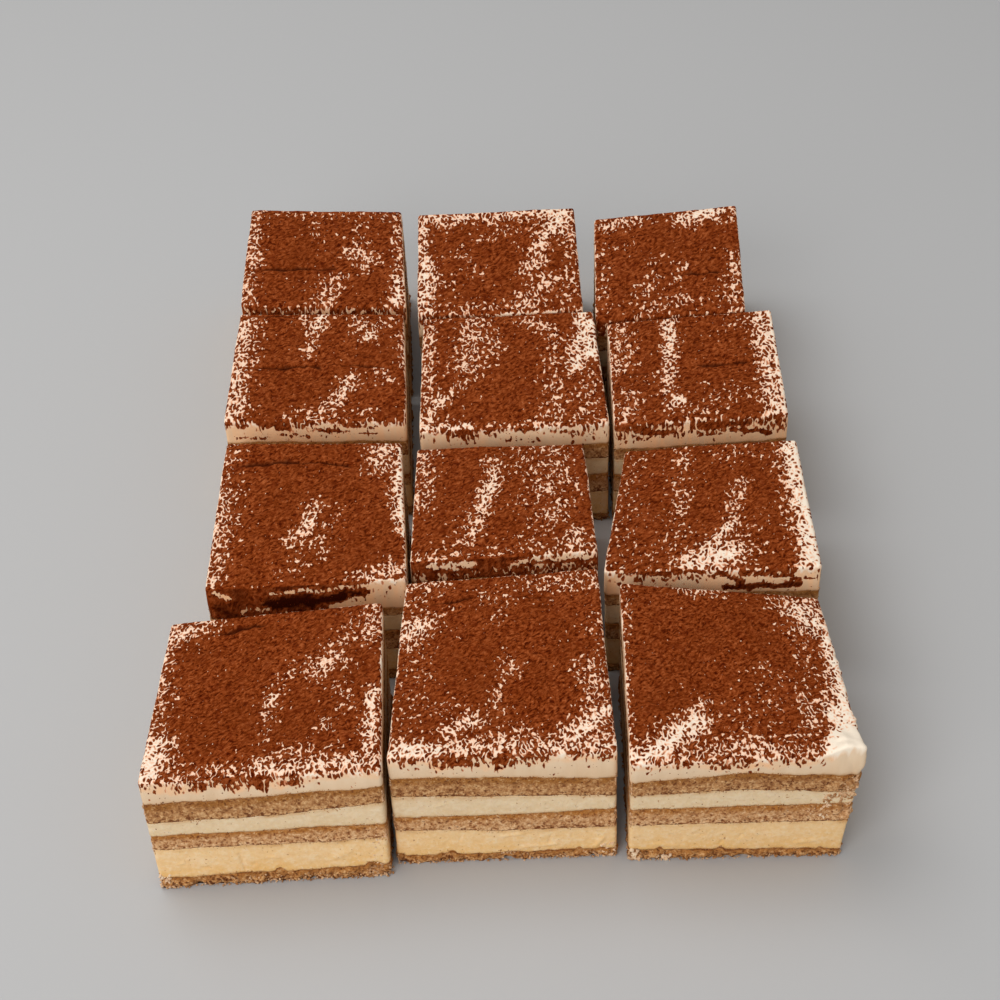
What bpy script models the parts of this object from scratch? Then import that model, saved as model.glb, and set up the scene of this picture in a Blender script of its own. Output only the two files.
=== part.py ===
"""Tiramisu cut for serving: one rectangular slab, three squares wide and four squares deep.

Every square is a stack of six layers: a thin crumbly sponge at the foot, a thick cream, a sponge,
a cream, a sponge, and a top cream under cocoa. The saw and the hand that set the squares down left
each of them a little different, so no two outlines match. Metres, +Z up. The slab stands on z = 0
with its middle over the origin, its long side along Y and the front row at -Y.
"""
import math
import random

import bmesh
import bpy
from mathutils import Matrix, Vector

MM = 0.001

# The slab: a 9 by 13 inch bake, cut three by four.
COLUMN_PITCH = 81 * MM
ROW_PITCH = 92 * MM
SQUARE_WIDTH = 75 * MM
SQUARE_DEPTH = 82 * MM
COLUMNS = ("left", "middle", "right")
ROWS = 4

# The layers from the foot up: material, thickness, and how far the side stands out past the cut.
LAYERS = (
    ("sponge", 3.8 * MM, 0.3 * MM),
    ("cream", 13.0 * MM, 0.1 * MM),
    ("sponge", 7.8 * MM, -0.4 * MM),
    ("cream", 8.4 * MM, 0.2 * MM),
    ("sponge", 9.6 * MM, -0.3 * MM),
    ("cream", 10.4 * MM, 0.3 * MM),
)
HEIGHT = sum(thickness for _, thickness, _ in LAYERS)

# How far the front squares' seams stand off those thicknesses, in millimetres, from the foot up.
SEAM_LIFTS = {
    "square_1_left": (1.9, 2.6, 2.6, 1.7, 0.9),
    "square_1_middle": (0.3, -1.2, -0.9, 0, -0.9),
    "square_1_right": (0.9, 3.0, 3.3, 2.1, 1.4),
}

# How far each corner of a square's top stands off an even grid of equal squares, in millimetres to
# the right, to the back and up. The corners go front left, front right, back right, back left.
CORNER_SHIFTS = {
    "square_1_left": ((-5, -4.5, 0), (1, -1.5, 0), (-2, -4, 1), (-4.5, -7.5, -3)),
    "square_1_middle": ((-3, 2, 0), (-1, 2.5, 0), (-3, 10, 2.5), (0.5, 8.5, -0.5)),
    "square_1_right": ((-3, -3.5, 0), (0, -3.5, 1), (-3.5, -4, -3.5), (-1, 1, 3)),
    "square_2_left": ((6, -2, -0.5), (6.5, 0.5, -0.5), (1.5, 2.5, -0.5), (5, 3, 1.5)),
    "square_2_middle": ((2, 8, 1), (-2.5, 10, 2), (-4.5, -1, -2), (2.5, -1.5, -1.5)),
    "square_2_right": ((-6, 0.5, 0), (-1, -3, 2), (0.5, -7, 0.5), (6.5, -6, -2.5)),
    "square_3_left": ((2, 8, 1), (3, 7.5, -1), (-0.5, 7, -1.5), (0, 8, 1.5)),
    "square_3_middle": ((3.5, -1, 0), (6.5, 0, 0), (4, 1, 0), (3, -0.5, 0)),
    "square_3_right": ((3, -1.5, -0.5), (0, -0.5, 1.5), (2.5, -4, 1), (4.5, -6, -2.5)),
    "square_4_left": ((-0.5, 4.5, 1), (0, 3, -2), (-4.5, 6.5, -1), (-4, 7.5, 2.5)),
    "square_4_middle": ((0, -6.5, -0.5), (0, -6, -1), (-0.5, -0.5, 1.5), (-2, -1.5, 1)),
    "square_4_right": ((-0.5, -12.5, -2), (-8.5, -12, 0), (-2.5, -6.5, 3), (3, -8, -1.5)),
}

# Squares whose cut isn't upright: how far the foot stands out past the top edge, in millimetres,
# at the front and at the right.
FOOT_LEANS = {
    "square_1_left": (2.5, -0.5),
    "square_1_middle": (1, 0),
    "square_1_right": (-2.5, -4.5),
}

# The cut sides: straight steps along each, and how far the saw wandered and the crumb tore. A foot
# tears inwards more than it spreads.
SIDE_STEPS = 8
SEAM_SOFTNESS = 0.5 * MM
CUT_WAVE = 0.3 * MM
CUT_SLANT = 0.3
SPONGE_RAGGEDNESS = 0.35 * MM
FOOT_TEAR = 0.8 * MM
FOOT_SPREAD = 0.3 * MM
FOOT_UNDERCUT = 0.5 * MM

# The rim: how far its rounding reaches down and in, and where the ring halfway round it lies.
RIM_DROP = 1.1 * MM
RIM_SETBACK = 1.2 * MM
RIM_MIDDLE_DROP = 0.3 * RIM_DROP
RIM_MIDDLE_SETBACK = 0.4 * RIM_SETBACK
CORNER_WEAR = 0.9 * MM

# The spread top: how uneven it is, and how far the ripples turn away from the slab's sides. The
# ripples of the cuts and of the top are these lengths long.
SPREAD_UNEVENNESS = 0.4 * MM
SPREAD_SLANT = 0.6
SLOW_RIPPLE = 90 * MM
QUICK_RIPPLE = 33 * MM
SLOW_SHARE = 0.6

FINISHES = {
    "cocoa": ((0.165, 0.042, 0.014), 0.95),
    "cream": ((0.80, 0.66, 0.44), 0.55),
    "sponge": ((0.43, 0.27, 0.13), 0.9),
}


def finish(name):
    """One plain finish: cocoa, cream or sponge."""
    colour, roughness = FINISHES[name]
    material = bpy.data.materials.new(name)
    material.use_nodes = True
    shader = material.node_tree.nodes["Principled BSDF"]
    shader.inputs["Base Color"].default_value = (*colour, 1.0)
    shader.inputs["Roughness"].default_value = roughness
    shader.inputs["Metallic"].default_value = 0.0
    return material


def side_levels(lifts):
    """The rings up a square's side, as height, stand-out and the material below each."""
    levels = [(0.0, LAYERS[0][2] - FOOT_UNDERCUT, "sponge")]
    floor = 0.0
    usual_top = 0.0
    for index, (material, thickness, stand_out) in enumerate(LAYERS):
        usual_top += thickness
        top = usual_top
        if index < len(lifts):
            top += lifts[index] * MM
        low = floor + SEAM_SOFTNESS
        high = top - SEAM_SOFTNESS
        if index == len(LAYERS) - 1:
            high = top - RIM_DROP
        levels.append((low, stand_out, LAYERS[max(index - 1, 0)][0]))
        levels.append((high, stand_out, material))
        floor = top
    levels.append((HEIGHT - RIM_MIDDLE_DROP, LAYERS[-1][2] - RIM_MIDDLE_SETBACK, "cream"))
    levels.append((HEIGHT, LAYERS[-1][2] - RIM_SETBACK, "cocoa"))
    return levels


LEVEL_COUNT = len(side_levels(()))


def wave(along, phases):
    """A slow and a quick ripple, between about -1 and 1, along a cut or over a spread top."""
    slow, quick = phases
    turn = 2 * math.pi * along
    return (SLOW_SHARE * math.sin(turn / SLOW_RIPPLE + slow)
            + (1 - SLOW_SHARE) * math.sin(turn / QUICK_RIPPLE + quick))


def top_corners(name, column, row):
    """The four corners of a square's top, front left first and then anticlockwise."""
    middle = Vector((COLUMN_PITCH * (column - (len(COLUMNS) - 1) / 2),
                     ROW_PITCH * (row - (ROWS - 1) / 2),
                     HEIGHT))
    half_width, half_depth = SQUARE_WIDTH / 2, SQUARE_DEPTH / 2
    sides = ((-1, -1), (1, -1), (1, 1), (-1, 1))
    return [middle + Vector((side_x * half_width, side_y * half_depth, 0)) + Vector(shift) * MM
            for (side_x, side_y), shift in zip(sides, CORNER_SHIFTS[name])]


def outward(u, v):
    """Which way a point on the rim of the unit square faces: zero on its inside."""
    edge = 0.5 - 1e-4
    return Vector((math.copysign(1, u) if abs(u) > edge else 0.0,
                   math.copysign(1, v) if abs(v) > edge else 0.0,
                   0.0))


def unit_block():
    """A unit square standing in one extrusion for each level, with the level as its height."""
    block = bmesh.new()
    bmesh.ops.create_grid(block, x_segments=SIDE_STEPS, y_segments=SIDE_STEPS, size=0.5)
    top = list(block.faces)
    for step in range(1, LEVEL_COUNT):
        grown = bmesh.ops.extrude_face_region(block, geom=top)["geom"]
        raised = [part for part in grown if isinstance(part, bmesh.types.BMVert)]
        bmesh.ops.translate(block, verts=raised, vec=(0, 0, 1))
        if step > 1:
            bmesh.ops.delete(block, geom=top, context="FACES")
        top = [part for part in grown if isinstance(part, bmesh.types.BMFace)]
    underside = [face for face in block.faces if face.calc_center_median().z < 1e-4]
    bmesh.ops.dissolve_faces(block, faces=underside, use_verts=False)
    bmesh.ops.recalc_face_normals(block, faces=block.faces)
    return block


def place_on_top(u, v, corners):
    """A point of the unit square on the square top that four corners span."""
    front = corners[0].lerp(corners[1], u + 0.5)
    back = corners[3].lerp(corners[2], u + 0.5)
    return front.lerp(back, v + 0.5)


def shape_point(vert, name, levels, corners, phases, rng):
    """Where a point of the unit block goes on the real square."""
    u, v, index = vert.co.x, vert.co.y, round(vert.co.z)
    height, stand_out, material = levels[index]
    spot = place_on_top(u, v, corners)
    way = outward(u, v)
    if way.length > 0:
        along = spot.y if way.x else spot.x
        push = stand_out + CUT_WAVE * wave(along + CUT_SLANT * height, phases)
        if way.x and way.y:
            push -= CORNER_WEAR
        if height < LAYERS[0][1]:
            push += rng.uniform(-FOOT_TEAR, FOOT_SPREAD)
        elif material == "sponge":
            push += SPONGE_RAGGEDNESS * rng.uniform(-1, 1)
        spot += way * push
    lean_front, lean_right = FOOT_LEANS.get(name, (0, 0))
    depth = 1 - height / HEIGHT
    spot.y -= lean_front * MM * depth * max(0.0, -2 * v)
    spot.x += lean_right * MM * depth * max(0.0, 2 * u)
    spot.z *= height / HEIGHT
    if index >= LEVEL_COUNT - 2:
        spot.z += SPREAD_UNEVENNESS * wave(spot.x - SPREAD_SLANT * spot.y, phases)
    vert.co = spot


def add_square(name, column, row, block, finishes):
    """One cut square of the slab."""
    rng = random.Random(name)
    phases = (rng.uniform(0, 2 * math.pi), rng.uniform(0, 2 * math.pi))
    corners = top_corners(name, column, row)
    levels = side_levels(SEAM_LIFTS.get(name, ()))
    shape = block.copy()
    order = list(FINISHES)
    for face in shape.faces:
        level = round(max(vert.co.z for vert in face.verts))
        face.material_index = order.index(levels[level][2])
    for vert in shape.verts:
        shape_point(vert, name, levels, corners, phases, rng)
    bmesh.ops.triangulate(shape, faces=shape.faces)
    mesh = bpy.data.meshes.new(name)
    shape.to_mesh(mesh)
    shape.free()
    for material in finishes:
        mesh.materials.append(material)
    square = bpy.data.objects.new(name, mesh)
    bpy.context.scene.collection.objects.link(square)
    return square


def centre_slab(squares):
    """Brings the middle of the whole outline over the origin."""
    points = [vert.co for square in squares for vert in square.data.vertices]
    middle_x = (min(point.x for point in points) + max(point.x for point in points)) / 2
    middle_y = (min(point.y for point in points) + max(point.y for point in points)) / 2
    for square in squares:
        square.data.transform(Matrix.Translation((-middle_x, -middle_y, 0)))


def build_slab():
    """All the squares, row by row from the front."""
    for old in list(bpy.data.objects):
        bpy.data.objects.remove(old, do_unlink=True)
    finishes = [finish(name) for name in FINISHES]
    block = unit_block()
    squares = []
    for row in range(ROWS):
        for column, side in enumerate(COLUMNS):
            squares.append(add_square(f"square_{row + 1}_{side}", column, row, block, finishes))
    block.free()
    centre_slab(squares)


build_slab()
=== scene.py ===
import itertools
import math
import random

import bmesh
import bpy
import numpy as np
from mathutils import Matrix, Vector


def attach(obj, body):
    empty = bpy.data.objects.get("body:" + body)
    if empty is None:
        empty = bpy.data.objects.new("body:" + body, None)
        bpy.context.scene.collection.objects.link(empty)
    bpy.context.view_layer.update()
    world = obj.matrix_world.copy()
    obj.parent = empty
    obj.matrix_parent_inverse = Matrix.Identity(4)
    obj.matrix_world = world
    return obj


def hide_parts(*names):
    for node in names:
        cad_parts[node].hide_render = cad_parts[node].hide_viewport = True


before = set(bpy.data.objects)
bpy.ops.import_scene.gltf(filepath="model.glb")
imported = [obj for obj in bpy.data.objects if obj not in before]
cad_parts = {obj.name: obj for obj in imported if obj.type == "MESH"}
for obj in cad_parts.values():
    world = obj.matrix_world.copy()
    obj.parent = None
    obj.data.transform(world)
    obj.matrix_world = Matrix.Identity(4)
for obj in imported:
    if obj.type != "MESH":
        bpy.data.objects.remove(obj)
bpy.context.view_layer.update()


# The cut. The slab is sawn into twelve squares, three across and four deep, and each square is a
# stack of six layers that the same saw strokes went through. What a cut line does, from foot to
# top, is read from the square's own solid, so that the layers stand where the solid stands.
MM = 0.001
SQUARES = [f"square_{row}_{column}" for row in range(1, 5) for column in ("left", "middle", "right")]
FRONT_ROW = SQUARES[:3]
CORNER_SIDES = np.array(((-1, -1), (1, -1), (1, 1), (-1, 1)))
CORNER_WEAR = 0.6 * MM
NEAR_CORNER = 8 * MM
# The foot corners are looked for below the first of these shares of a solid's height, the top
# corners above the second, and they are taken to stand at the other two.
FOOT_PART = 0.12
TOP_PART = 0.85
FOOT_SHARE = 0.07
TOP_SHARE = 0.965
# Lumps come from a table of random numbers, turned so that it lies along none of the cuts.
TABLE_TURN = np.array(Matrix.Rotation(0.6, 3, (1, 2, 3)))
TABLE_SIDE = 64


def points_of(mesh):
    """A mesh's points as rows of x, y and z."""
    spots = np.empty(3 * len(mesh.vertices))
    mesh.vertices.foreach_get("co", spots)
    return spots.reshape(-1, 3)


def cut_of(name):
    """A square's cut: its corners near the foot and near the top, and how high each one stands. The
    solid's corners are worn, and the cut's own lines meet a little further out."""
    spots = points_of(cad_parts[name].data)
    height = spots[:, 2].max()
    foot = spots[spots[:, 2] < FOOT_PART * height]
    top = spots[spots[:, 2] > TOP_PART * height]
    feet, tops, heights = [], [], []
    for side in CORNER_SIDES:
        feet.append(foot[np.argmax(foot[:, :2] @ side), :2] + side * CORNER_WEAR)
        tops.append(top[np.argmax(top[:, :2] @ side), :2] + side * CORNER_WEAR)
        near = np.hypot(*(top[:, :2] - tops[-1]).T) < NEAR_CORNER
        heights.append(top[near, 2].max())
    feet, tops = np.array(feet), np.array(tops)
    width = np.linalg.norm(tops[1] + tops[2] - tops[0] - tops[3]) / 2
    depth = np.linalg.norm(tops[2] + tops[3] - tops[0] - tops[1]) / 2
    return {"feet": feet, "tops": tops, "heights": np.array(heights), "size": np.array((width, depth))}


CUTS = {name: cut_of(name) for name in SQUARES}


def place(cut, flat, share):
    """Where a point of the flat square, in metres from its middle, stands at a share of the height."""
    across, along = (flat / cut["size"] + 0.5).T
    weights = np.stack(((1 - across) * (1 - along), across * (1 - along),
                        across * along, (1 - across) * along), axis=1)
    lean = ((share - FOOT_SHARE) / (TOP_SHARE - FOOT_SHARE))[:, None]
    ground = (weights @ cut["feet"]) * (1 - lean) + (weights @ cut["tops"]) * lean
    return np.column_stack((ground, share * (weights @ cut["heights"])))


def eased(share):
    """A share between nought and one, made to start and to end slowly."""
    return share * share * (3 - 2 * share)


def lumps(spots, size, seed):
    """Smooth lumps about as wide as size, between -1 and 1."""
    table = np.random.default_rng(seed).uniform(-1, 1, (TABLE_SIDE,) * 3)
    cell = spots @ TABLE_TURN / size
    corner = np.floor(cell).astype(int)
    blend = eased(cell - corner)
    total = 0
    for step in itertools.product((0, 1), repeat=3):
        share = np.prod(np.where(step, blend, 1 - blend), axis=1)
        i, j, k = ((corner + step) % TABLE_SIDE).T
        total = total + share * table[i, j, k]
    return total


# Base sponge. The lowest layer is a thin soaked sponge, mostly crumb: it was pressed into the dish
# first, and it tears when a square is lifted, so its side is ragged and its foot uneven. The bands
# of all the lower layers are made like this one, so the way a band is cut is kept here.
LAYER_TOPS = {"base_sponge": 3.8, "lower_cream": 16.8, "middle_sponge": 24.6, "upper_cream": 33.0,
              "top_sponge": 42.6, "top_cream": 53.0}
LAYERS = list(LAYER_TOPS)
FULL_HEIGHT = LAYER_TOPS["top_cream"]
# How far each seam of a front square stands off the usual height, in millimetres, at the left, the
# middle and the right of its front: the tops of the five lower layers, from the foot up.
SEAM_LIFTS = {
    "square_1_left": ((1.2, 1.9, 2.6), (2.7, 2.2, 3.0), (2.8, 2.5, 2.4), (0.5, 0.9, 3.8), (-0.6, 0.9, 2.3)),
    "square_1_middle": ((0.8, 0.0, 0.2), (0.2, -2.0, -1.7), (-0.7, -1.7, -0.4), (1.5, 0.0, -1.5),
                        (0.5, -0.7, -2.4)),
    "square_1_right": ((2.2, 1.4, -0.8), (3.4, 3.0, 2.6), (3.1, 3.3, 3.5), (2.2, 3.8, 0.4), (0.3, 3.2, 0.6)),
}
# The top cream of the squares behind is thicker, by so many millimetres.
THICKER_TOPS = {"square_2_left": 5.0, "square_2_right": 2.0, "square_3_right": 4.0, "square_3_middle": 2.0}
USUALLY_THICKER = 1.2
SEAM_SPACING = 30 * MM
SIDE_STEP = {"front": 0.45 * MM, "back": 0.78 * MM}
FEWEST_RINGS = 6
CORNER_RADIUS = 1.3 * MM
CAP_INSET = 0.03


def grain_of(name):
    """The front squares are made finer, because they are seen from nearest."""
    return "front" if name in FRONT_ROW else "back"


def thickness_of(layer):
    """How thick a layer usually is."""
    tops = [0, *LAYER_TOPS.values()]
    number = LAYERS.index(layer)
    return (tops[number + 1] - tops[number]) * MM


def seam(name, number, flat):
    """The share of the height at which a layer ends, the first being the foot of the square."""
    if number == 0:
        return np.zeros(len(flat))
    cut = CUTS[name]
    rng = random.Random(f"{name} seam {number}")
    lifts = SEAM_LIFTS.get(name)
    if lifts:
        lift = np.interp(flat[:, 0] / cut["size"][0], (-0.5, 0, 0.5), lifts[number - 1])
    else:
        lift = rng.uniform(-0.4, 1.6) + rng.uniform(-1.4, 1.4) * flat[:, 0] / cut["size"][0]
        lift = lift - (THICKER_TOPS.get(name, USUALLY_THICKER) if number == 5 else 0)
    lift = lift + rng.uniform(-1.0, 1.0) * flat[:, 1] / cut["size"][1]
    spots = np.column_stack((flat + cut["tops"].mean(axis=0), np.full(len(flat), number * SEAM_SPACING)))
    ripple = 0.55 * lumps(spots, 17 * MM, 3) + 0.25 * lumps(spots, 5 * MM, 4)
    ripple = ripple + 0.1 * lumps(spots, 1.7 * MM, 5)
    if number == 1:
        ripple = ripple + 0.45 * lumps(spots, 6 * MM, 6) + 0.4 * lumps(spots, 2.4 * MM, 7)
        ripple = ripple + 3.2 * np.maximum(0, lumps(spots, 3.6 * MM, 9) - 0.3)
    else:
        ripple = ripple + 0.26 * lumps(spots, 1.6 * MM, 8)
    return (list(LAYER_TOPS.values())[number - 1] + lift + ripple) / FULL_HEIGHT


def grown_disc(around, rings):
    """A round disc, grown upwards in rings and closed at both ends with a small inset. The ends are
    flat, so that the seams between the layers keep crisp edges."""
    disc = bmesh.new()
    bmesh.ops.create_circle(disc, cap_ends=True, segments=around, radius=1)
    top = list(disc.faces)
    for ring in range(rings):
        grown = bmesh.ops.extrude_face_region(disc, geom=top)["geom"]
        raised = [part for part in grown if isinstance(part, bmesh.types.BMVert)]
        bmesh.ops.translate(disc, verts=raised, vec=(0, 0, 1))
        if ring:
            bmesh.ops.delete(disc, geom=top, context="FACES")
        top = [part for part in grown if isinstance(part, bmesh.types.BMFace)]
    ends = [face for face in disc.faces if len(face.verts) > 4]
    bmesh.ops.inset_region(disc, faces=ends, thickness=CAP_INSET, use_even_offset=False)
    bmesh.ops.recalc_face_normals(disc, faces=disc.faces)
    disc.normal_update()
    for face in disc.faces:
        face.smooth = abs(face.normal.z) < 0.5
    return disc


def round_corners(flat, size):
    """Rounds the corners of the flat square; also says how far each point lies past the straight
    part of the cut, and which way it faces there."""
    inner = size / 2 - CORNER_RADIUS
    anchor = np.clip(flat, -inner, inner)
    past = flat - anchor
    longest = np.abs(past).max(axis=1)
    length = np.maximum(np.hypot(*past.T), 1e-9)
    facing = past / length[:, None]
    return anchor + facing * longest[:, None], longest, facing


def finished(name, block, spots, material, square):
    """Makes a piece of a block whose points have been moved, and has it stand for its square."""
    mesh = bpy.data.meshes.new(name)
    block.to_mesh(mesh)
    mesh.vertices.foreach_set("co", spots.astype(np.float32).ravel())
    mesh.materials.append(material)
    mesh.update()
    piece = bpy.data.objects.new(name, mesh)
    bpy.context.scene.collection.objects.link(piece)
    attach(piece, "root")
    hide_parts(square)
    return piece


def cut_band(layer, square, blocks, press, material):
    """One layer of one square. The press says how far its side stands out past the cut. Also gives
    where its points stand and how far up the layer they are."""
    number = LAYERS.index(layer)
    thickness = thickness_of(layer)
    cut = CUTS[square]
    grain = grain_of(square)
    step = SIDE_STEP[grain]
    rings = max(FEWEST_RINGS, round(thickness / step))
    if grain not in blocks:
        blocks[grain] = grown_disc(4 * round(cut["size"].sum() / 2 / step), rings)
    block = blocks[grain]
    unit = np.array([vert.co for vert in block.verts])
    turn = (np.arctan2(unit[:, 1], unit[:, 0]) / (2 * math.pi) * 4 + 0.5) % 4
    side = np.floor(turn + 1e-6).astype(int) % 4
    run = turn - np.floor(turn + 1e-6) - 0.5
    ways = np.array(((1, 0), (0, 1), (-1, 0), (0, -1)))
    flat = 0.5 * ways[side] + run[:, None] * ways[(side + 1) % 4]
    radius = np.hypot(unit[:, 0], unit[:, 1])
    flat, past, facing = round_corners(flat * cut["size"], cut["size"])
    up = unit[:, 2] / rings
    share = seam(square, number, flat) * (1 - up) + seam(square, number + 1, flat) * up
    spots = place(cut, flat * radius[:, None], share)
    rim = radius > 1 - CAP_INSET / 2
    from_seam = np.minimum(up, 1 - up) * thickness
    push = press(square, place(cut, flat, share), up, from_seam, facing)
    spots[rim, :2] += (facing * push[:, None])[rim]
    name = f"{layer}_{square[7:]}"
    return finished(name, block, spots, material, square), spots, up


def new_finish(name, roughness, gloss):
    """A material of its own, with its node tree and its shader."""
    material = bpy.data.materials.new(name)
    material.use_nodes = True
    shader = material.node_tree.nodes["Principled BSDF"]
    shader.inputs["Roughness"].default_value = roughness
    shader.inputs["Specular IOR Level"].default_value = gloss
    return material, material.node_tree, shader


def wire(tree, source, target):
    """Joins a socket to another, or writes a plain value into it."""
    if isinstance(source, bpy.types.NodeSocket):
        tree.links.new(source, target)
    else:
        target.default_value = source


def sums(tree, operation, first, second, third=0.0, clamp=False):
    """One step of arithmetic between sockets and numbers."""
    node = tree.nodes.new("ShaderNodeMath")
    node.operation = operation
    node.use_clamp = clamp
    for number, value in enumerate((first, second, third)):
        wire(tree, value, node.inputs[number])
    return node.outputs[0]


def scaled(tree, value, factor, added=0.0, clamp=False):
    """The value times a factor, with something added."""
    return sums(tree, "MULTIPLY_ADD", value, factor, added, clamp)


def cloud(tree, where, scale, detail=2.0, roughness=0.5, distortion=0.0):
    """Soft noise, scale being its number of clumps in a metre."""
    node = tree.nodes.new("ShaderNodeTexNoise")
    wire(tree, where, node.inputs["Vector"])
    node.inputs["Scale"].default_value = scale
    node.inputs["Detail"].default_value = detail
    node.inputs["Roughness"].default_value = roughness
    node.inputs["Distortion"].default_value = distortion
    return node.outputs["Fac"]


def ramp(tree, value, stops):
    """Colours that follow one another as the value rises."""
    node = tree.nodes.new("ShaderNodeValToRGB")
    wire(tree, value, node.inputs["Fac"])
    points = node.color_ramp.elements
    for number, (place_on, colour) in enumerate(stops):
        point = points[number] if number < 2 else points.new(place_on)
        point.position = place_on
        point.color = (*colour, 1.0)
    return node.outputs["Color"]


def between(tree, value, low, high, at_low, at_high):
    """A share that goes evenly from at_low to at_high while the value goes from low to high."""
    return ramp(tree, value, ((low, (at_low,) * 3), (high, (at_high,) * 3)))


def blend(tree, share, first, second):
    """Mixes two colours."""
    node = tree.nodes.new("ShaderNodeMix")
    node.data_type = "RGBA"
    wire(tree, share, node.inputs["Factor"])
    for socket, colour in (("A", first), ("B", second)):
        if isinstance(colour, tuple):
            colour = (*colour, 1.0)
        for candidate in node.inputs:
            if candidate.name == socket and candidate.type == "RGBA":
                wire(tree, colour, candidate)
    return node.outputs["Result"] if node.outputs["Result"].type == "RGBA" else node.outputs[2]


def object_place(tree):
    """Object coordinates: metres in the slab's own frame."""
    return tree.nodes.new("ShaderNodeTexCoord").outputs["Object"]


def attribute(tree, name, output="Fac"):
    """A value that was painted on the mesh."""
    node = tree.nodes.new("ShaderNodeAttribute")
    node.attribute_name = name
    return node.outputs[output]


def bump(tree, shader, height, distance):
    """Raises the surface by height times distance."""
    node = tree.nodes.new("ShaderNodeBump")
    node.inputs["Strength"].default_value = 1.0
    node.inputs["Distance"].default_value = distance
    wire(tree, height, node.inputs["Height"])
    wire(tree, node.outputs["Normal"], shader.inputs["Normal"])


def crumb_finish(name, body, pale, pit_shade, crust, soaked):
    """Baked sponge: tan crumb with pale grains, golden where coffee soaked it. Its pits and holes,
    more of them toward the foot, are painted near-black: painted shade in the recesses of the crumb.
    """
    material, tree, shader = new_finish(name, 0.85, 0.25)
    where = object_place(tree)
    coarse = cloud(tree, where, 620, 2.5, 0.6, 0.3)
    fine = cloud(tree, where, 1400, 2.0, 0.7)
    crumb = sums(tree, "ADD", scaled(tree, coarse, 0.55), scaled(tree, fine, 0.45))
    patches = cloud(tree, where, 170, 3.0)
    near_foot = attribute(tree, "holed")
    crusted = attribute(tree, "crusted")
    wet = scaled(tree, attribute(tree, "soaked"), scaled(tree, patches, 2.4, -0.25), clamp=True)
    colour = blend(tree, wet, body, soaked)
    colour = blend(tree, between(tree, coarse, 0.34, 0.54, 0.5, 0), colour, crust)
    # Pits and holes get the near-black colour: painted shade in the recesses of the crumb.
    pitted = scaled(tree, near_foot, -0.03, crumb)
    colour = blend(tree, between(tree, pitted, 0.36, 0.475, 0.9, 0), colour, pit_shade)
    grains = scaled(tree, near_foot, 0.03, scaled(tree, wet, -0.04, crumb))
    colour = blend(tree, between(tree, grains, 0.51, 0.64, 0, 0.9), colour, pale)
    holes = scaled(tree, near_foot, 0.12, cloud(tree, where, 900, 0.5))
    holes = between(tree, holes, 0.69, 0.77, 0, 0.85)
    colour = blend(tree, holes, colour, pit_shade)
    line = scaled(tree, crusted, 0.5, scaled(tree, coarse, 1.6, -0.8), clamp=True)
    wire(tree, blend(tree, scaled(tree, line, crusted), colour, crust), shader.inputs["Base Color"])
    bump(tree, shader, scaled(tree, holes, -0.4, crumb), 0.6 * MM)
    return material


def paint(piece, name, values):
    """Paints a value on every point of a piece."""
    kind = "FLOAT" if values.ndim == 1 else "FLOAT_VECTOR"
    field = "value" if values.ndim == 1 else "vector"
    layer = piece.data.attributes.new(name, kind, "POINT")
    layer.data.foreach_set(field, values.astype(np.float32).ravel())


BASE_CRUMB = crumb_finish("soaked_base_crumb", (0.46, 0.19, 0.05), (0.76, 0.46, 0.21), (0.10, 0.023, 0.004),
                          (0.20, 0.06, 0.012), (0.45, 0.18, 0.04))
HOLED_DEPTH = 1.6 * MM
FOOT_CRUST = 0.4 * MM
FOOT_CRUST_SHARE = 0.75


def base_press(square, spots, up, from_seam, facing):
    """The torn crumb of the base: lumps and bites, drawn in under the foot."""
    ragged = 0.75 * lumps(spots, 2.6 * MM, 11) + 0.6 * lumps(spots, 1.3 * MM, 12)
    bites = np.minimum(0, lumps(spots, 4.5 * MM, 13) + 0.25)
    return (0.2 + ragged + 2.0 * bites - 0.4 * (1 - up) ** 2) * MM


def sponge_layer(layer, press, finish, soak, crust):
    """Lays a sponge in every square, and paints how near its crumb is to its wet top, to the holes
    at its foot, and to its crusts."""
    blocks = {}
    thickness = thickness_of(layer)
    for square in SQUARES:
        piece, spots, up = cut_band(layer, square, blocks, press, finish)
        from_top = (1 - up) * thickness
        from_foot = up * thickness
        paint(piece, "soaked", np.exp(-(from_top / soak) ** 4))
        paint(piece, "holed", np.exp(-(from_foot / HOLED_DEPTH) ** 2))
        foot_crust = FOOT_CRUST_SHARE * np.exp(-(from_foot / FOOT_CRUST) ** 2)
        paint(piece, "crusted", np.maximum(np.exp(-(from_top / crust) ** 2), foot_crust))


sponge_layer("base_sponge", base_press, BASE_CRUMB, 1.4 * MM, 0.45 * MM)


# Lower cream. The thick layer over the base is the yellowest cream of the three.
# The saw leaves it smooth, with faint smears, a few nicks and pinholes, and crumb dragged down from
# the seam above it.
def mapped(tree, source, scale, turn=0.0):
    """The source coordinates, stretched, and turned about Z."""
    node = tree.nodes.new("ShaderNodeMapping")
    wire(tree, source, node.inputs["Vector"])
    node.inputs["Scale"].default_value = scale
    node.inputs["Rotation"].default_value = (0, 0, turn)
    return node.outputs["Vector"]


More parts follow.
